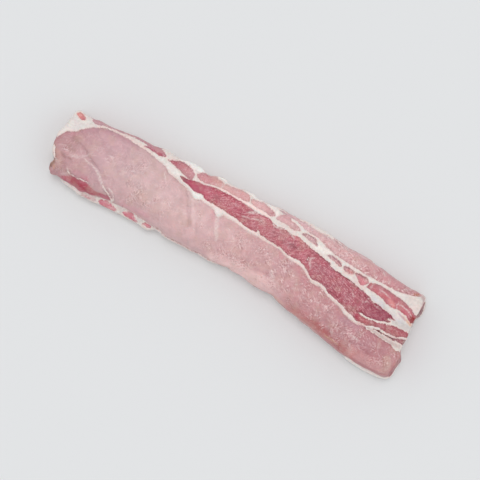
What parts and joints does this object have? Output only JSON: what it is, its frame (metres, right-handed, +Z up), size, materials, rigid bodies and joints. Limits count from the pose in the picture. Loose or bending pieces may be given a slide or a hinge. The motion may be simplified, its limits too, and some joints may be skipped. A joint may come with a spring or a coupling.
{
  "type": "raw boneless pork loin",
  "caption": "Long raw boneless pork loin lying on its fat cap, boned side up: pale loin eye, darker chain muscle, white fat seams and small meat patches along the chine edge.",
  "frame": {"origin": "middle of the bounding box on the surface that the meat lies on", "axes": "+X along the length from the chump end to the rib end, +Y across from the belly side to the chine side, +Z up through the boned face"},
  "size_m": [0.5992, 0.1477, 0.0568],
  "materials": {
    "raw_pork": "satin"
  },
  "bodies": {
    "root": {"pork_loin": "raw_pork"}
  },
  "joints": []
}
